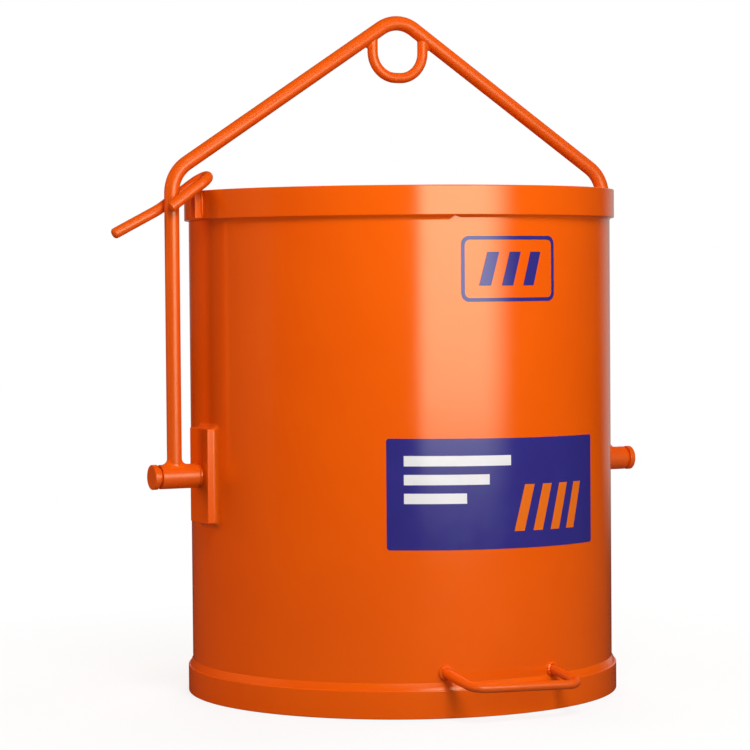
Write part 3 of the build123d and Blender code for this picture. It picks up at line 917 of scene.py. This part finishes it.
class WrappedPrint:
    """Film on the drum: flat shapes of distance along the drum and height, laid on its curve."""

    def __init__(self, name, turn, height, tilt=0.0):
        self.name = name
        self.turn = turn
        self.height = height
        self.tilt = tilt
        self.shape = bmesh.new()
        self.finishes = []

    def laid(self, along, up, layer):
        """Place on the drum of a point of the flat print."""
        sizes = bpy.context.scene.bucket_sizes
        turn = self.turn + along / sizes.drum_radius
        out = sizes.drum_radius + layer * sizes.film
        return Vector((out * sin(turn), -out * cos(turn), self.height + up + along * tan(self.tilt)))

    def strip(self, start, end, low, high, layer, coating, step=PRINT_STEP):
        """Shape between two edges, each a function of the distance along the drum."""
        if coating not in self.finishes:
            self.finishes.append(coating)
        count = max(2, int((end - start) / step))
        column = None
        for part in range(count + 1):
            along = start + (end - start) * part / count
            feet = self.shape.verts.new(self.laid(along, low(along), layer))
            head = self.shape.verts.new(self.laid(along, high(along), layer))
            if column:
                face = self.shape.faces.new((column[0], feet, head, column[1]))
                face.material_index = self.finishes.index(coating)
            column = (feet, head)

    def bars(self, coating, layer, count, first, pitch, width, low, high, lean):
        """Row of slanted bars whose tops lean along the drum."""
        slope = (high - low) / lean
        for step in range(count):
            start = first + pitch * step
            end = start + width
            edges = (
                lambda a: max(low, low + slope * (a - end)),
                lambda a: min(high, low + slope * (a - start)),
            )
            breaks = sorted((start, start + lean, end, end + lean))
            for near, far in zip(breaks, breaks[1:]):
                self.strip(near, far, *edges, layer, coating)

    def stick(self):
        """Put the print on the drum as a thin piece of film."""
        bmesh.ops.remove_doubles(self.shape, verts=self.shape.verts, dist=SAME_PLACE)
        flat = new_object(self.name, mesh_of(self.name, self.shape, self.finishes))
        thickness = flat.modifiers.new("Film", "SOLIDIFY")
        thickness.thickness = bpy.context.scene.bucket_sizes.film
        thickness.offset = 1
        fit(self.name, settle(made_plain(flat)), "drum")


def round_edges(half_length, half_height, corner):
    """Lower and upper edge of a rounded rectangle, as functions of the distance along it."""

    def upper(along):
        past = abs(along) - (half_length - corner)
        if past <= 0:
            return half_height
        return half_height - corner + sqrt(max(corner**2 - past**2, 0))

    return lambda along: -upper(along), upper


class BUCKET_OT_panels(Operator):
    """Plain printed panels on the front of the drum"""

    bl_idname = "bucket.panels"
    bl_label = "Printed panels"

    def execute(self, context):
        large = WrappedPrint("large_panel", turn=radians(1.6), height=237.5 * MM, tilt=radians(-0.8))
        low, high = round_edges(LARGE_HALF, LARGE_RISE, LARGE_CORNER)
        large.strip(-LARGE_HALF, LARGE_HALF, low, high, 1, "Panel blue")
        for row, end in enumerate(STRIPE_ENDS):
            top = STRIPE_TOP - STRIPE_PITCH * row
            large.strip(STRIPE_START, end, lambda a: top - STRIPE_HEIGHT, lambda a: top, 2, "Panel white")
        large.bars(
            "Panel orange", layer=2, count=4, first=8 * MM, pitch=25 * MM,
            width=13 * MM, low=-41 * MM, high=9 * MM, lean=14 * MM,
        )
        large.stick()

        small = WrappedPrint("small_panel", turn=radians(3.1), height=477.8 * MM)
        inner = SMALL_HALF - FRAME_LINE
        low, high = round_edges(SMALL_HALF, SMALL_RISE, SMALL_CORNER)
        inner_low, inner_high = round_edges(inner, SMALL_RISE - FRAME_LINE, FRAME_INNER_CORNER)
        for start, end, foot, head in (
            (-SMALL_HALF, -inner, low, high),
            (inner, SMALL_HALF, low, high),
            (-inner, inner, low, inner_low),
            (-inner, inner, inner_high, high),
        ):
            small.strip(start, end, foot, head, 1, "Panel blue", FINE_PRINT_STEP)
        small.bars(
            "Panel blue", layer=1, count=3, first=-39 * MM, pitch=27 * MM,
            width=14 * MM, low=-18 * MM, high=18 * MM, lean=10 * MM,
        )
        small.stick()
        return {"FINISHED"}


class BUCKET_OT_paint(Operator):
    """Paint and bare steel on the solids that are shown as they are"""

    bl_idname = "bucket.paint"
    bl_label = "Paint"

    def execute(self, context):
        for name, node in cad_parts.items():
            if node.hide_render:
                continue
            paint = "Enamel over weld" if "weld" in name else "Orange enamel"
            node.data.materials.clear()
            node.data.materials.append(finish(SOLID_FINISHES.get(name, paint)))
        return {"FINISHED"}


# Studio


def aim(holder, place, target, axis):
    """Put a panel or a lamp at its place, with an axis towards its target."""
    holder.location = place
    holder.rotation_euler = (Vector(target) - Vector(place)).to_track_quat(axis, "Y").to_euler()


def plane(name, width, height, material):
    """Flat stage panel, level at the origin."""
    half, rise = width / 2, height / 2
    corners = [(-half, -rise, 0), (half, -rise, 0), (half, rise, 0), (-half, rise, 0)]
    mesh = bpy.data.meshes.new(name)
    mesh.from_pydata(corners, [], [(0, 1, 2, 3)])
    mesh.materials.append(material)
    panel = new_object(name, mesh)
    return panel


def ray_kinds(tree):
    """One for rays from the camera, and one for rays that come by way of gloss or glass."""
    path = tree.nodes.new("ShaderNodeLightPath").outputs
    mirrored = maths(tree, "MAXIMUM", path["Is Glossy Ray"], path["Is Transmission Ray"])
    return path["Is Camera Ray"], mirrored


def behind_bucket(tree, direction):
    """One for directions towards the pale backdrop, behind the bucket."""
    facing = vector_math(tree, "DOT_PRODUCT", "Value", {0: direction, 1: BACKDROP_DIRECTION})
    return ramp(tree, facing, *BACKDROP_EDGE)


def floor_material(tone):
    """Pale floor that is white for the camera away from the bucket, and keeps the shadow near it."""
    material = bpy.data.materials.new("Pale floor")
    tree, surface = emptied(material, "ShaderNodeOutputMaterial")
    material.cycles.emission_sampling = "NONE"
    place = tree.nodes.new("ShaderNodeTexCoord").outputs["Object"]
    distance = vector_math(tree, "LENGTH", "Value", {0: place})
    towards = vector_math(tree, "NORMALIZE", "Vector", {0: place})
    camera, mirrored = ray_kinds(tree)
    white = maths(tree, "MULTIPLY", camera, ramp(tree, distance, *SHADOW_SPAN, SHADOW_WHITE))
    away = ramp(tree, distance, *BACKDROP_SPAN)
    backdrop = maths(tree, "MULTIPLY", away, behind_bucket(tree, towards))
    pale = maths(tree, "MULTIPLY", mirrored, maths(tree, "MULTIPLY", backdrop, BACKDROP_GLOW))
    level = mixed(tree, camera, mixed(tree, mirrored, FLOOR_LIGHT, FLOOR_MIRRORED), 1.0)
    shade = vector_math(tree, "SCALE", "Vector", {0: tone, "Scale": level})
    matt = add_node(tree, "ShaderNodeBsdfDiffuse", {"Color": shade}).outputs["BSDF"]
    glow = add_node(tree, "ShaderNodeEmission", {"Color": WHITE, "Strength": 1.0}).outputs["Emission"]
    mix = add_node(tree, "ShaderNodeMixShader", {0: maths(tree, "MAXIMUM", white, pale), 1: matt, 2: glow})
    tree.links.new(mix.outputs["Shader"], surface)
    return material


def softbox_material():
    """Soft light panel that is brightest at its top and fades towards its sides and its lower edge."""
    material = bpy.data.materials.new("Key softbox")
    tree, surface = emptied(material, "ShaderNodeOutputMaterial")
    material.cycles.emission_sampling = "FRONT"
    place = tree.nodes.new("ShaderNodeTexCoord").outputs["Object"]
    parts = add_node(tree, "ShaderNodeSeparateXYZ", {"Vector": place}).outputs
    strength = 1.0
    for axis, start, end, low, high in KEY_RAMPS:
        level = ramp(tree, parts[axis], start, end, low, high, "SMOOTHSTEP")
        strength = maths(tree, "MULTIPLY", level, strength)
    glow = add_node(tree, "ShaderNodeEmission", {"Color": WHITE, "Strength": strength})
    tree.links.new(glow.outputs["Emission"], surface)
    return material


def studio_world():
    """White for the camera; a dim room for the rest, with the pale backdrop where gloss shows it."""
    world = bpy.data.worlds.new("Studio")
    bpy.context.scene.world = world
    tree, surface = emptied(world, "ShaderNodeOutputWorld")
    direction = tree.nodes.new("ShaderNodeTexCoord").outputs["Generated"]
    backdrop = maths(tree, "MULTIPLY", behind_bucket(tree, direction), BACKDROP_GLOW)
    camera, mirrored = ray_kinds(tree)
    room = mixed(tree, mirrored, ROOM_LIGHT, maths(tree, "ADD", backdrop, ROOM_MIRRORED))
    level = mixed(tree, camera, room, 1.0)
    light = add_node(tree, "ShaderNodeBackground", {"Color": WHITE, "Strength": level})
    tree.links.new(light.outputs["Background"], surface)


def area_light(name, place, target, width, height, power, tone):
    """Soft lamp that neither the camera nor the gloss of the paint shows."""
    lamp = bpy.data.lights.new(name, "AREA")
    lamp.shape = "RECTANGLE"
    lamp.size = width
    lamp.size_y = height
    lamp.energy = power
    lamp.color = tone
    holder = new_object(name, lamp)
    aim(holder, place, target, "-Z")
    holder.visible_camera = False
    holder.visible_glossy = False


def aim_camera():
    """Camera at the photograph's place, with its slight roll."""
    eye = bpy.data.cameras.new("Camera")
    eye.sensor_width = CAMERA_SENSOR
    eye.lens = CAMERA_LENS
    holder = new_object("Camera", eye)
    heading = Matrix.Rotation(-CAMERA_HEADING, 4, "Z")
    pitch = Matrix.Rotation(pi / 2 - CAMERA_PITCH, 4, "X")
    roll = Matrix.Rotation(-CAMERA_ROLL, 4, "Z")
    holder.matrix_world = Matrix.Translation(CAMERA_PLACE) @ heading @ pitch @ roll
    bpy.context.scene.camera = holder


class BUCKET_OT_stage(Operator):
    """Pale floor, soft studio light and the camera"""

    bl_idname = "bucket.stage"
    bl_label = "Studio"

    def execute(self, context):
        plane("floor", FLOOR_SIZE, FLOOR_SIZE, floor_material(context.scene.bucket_colours.floor))
        key = plane("key_softbox", *KEY_SIZE, softbox_material())
        aim(key, KEY_PLACE, KEY_TARGET, "Z")
        key.visible_camera = False
        for lamp in LAMPS:
            area_light(*lamp)
        studio_world()
        aim_camera()
        context.scene.view_settings.view_transform = "Standard"
        return {"FINISHED"}


# Add-on


class BUCKET_PT_pieces(Panel):
    """Lists the bucket's pieces, sizes and colours"""

    bl_label = "Tipping bucket"
    bl_idname = "BUCKET_PT_pieces"
    bl_space_type = "VIEW_3D"
    bl_region_type = "UI"
    bl_category = "Bucket"

    def draw(self, context):
        column = self.layout.column(align=True)
        for operator in OPERATORS:
            column.operator(operator.bl_idname)
        for settings in (context.scene.bucket_sizes, context.scene.bucket_colours):
            box = self.layout.box()
            for name in settings.bl_rna.properties.keys():
                if name not in ("rna_type", "name"):
                    box.prop(settings, name)


OPERATORS = (
    BUCKET_OT_drum,
    BUCKET_OT_hoops,
    BUCKET_OT_trunnions,
    BUCKET_OT_bail,
    BUCKET_OT_eye,
    BUCKET_OT_handle,
    BUCKET_OT_lever,
    BUCKET_OT_welds,
    BUCKET_OT_panels,
    BUCKET_OT_paint,
    BUCKET_OT_stage,
)
CLASSES = (BucketSizes, BucketColours, *OPERATORS, BUCKET_PT_pieces)


def register():
    for cls in CLASSES:
        bpy.utils.register_class(cls)
    bpy.types.Scene.bucket_sizes = PointerProperty(type=BucketSizes)
    bpy.types.Scene.bucket_colours = PointerProperty(type=BucketColours)


def unregister():
    del bpy.types.Scene.bucket_colours
    del bpy.types.Scene.bucket_sizes
    for cls in reversed(CLASSES):
        bpy.utils.unregister_class(cls)


def main():
    """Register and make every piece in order."""
    register()
    bpy.ops.bucket.drum()
    bpy.ops.bucket.hoops()
    bpy.ops.bucket.trunnions()
    bpy.ops.bucket.bail()
    bpy.ops.bucket.eye()
    bpy.ops.bucket.handle()
    bpy.ops.bucket.lever()
    bpy.ops.bucket.welds()
    bpy.ops.bucket.panels()
    bpy.ops.bucket.paint()
    bpy.ops.bucket.stage()


if __name__ == "__main__":
    main()
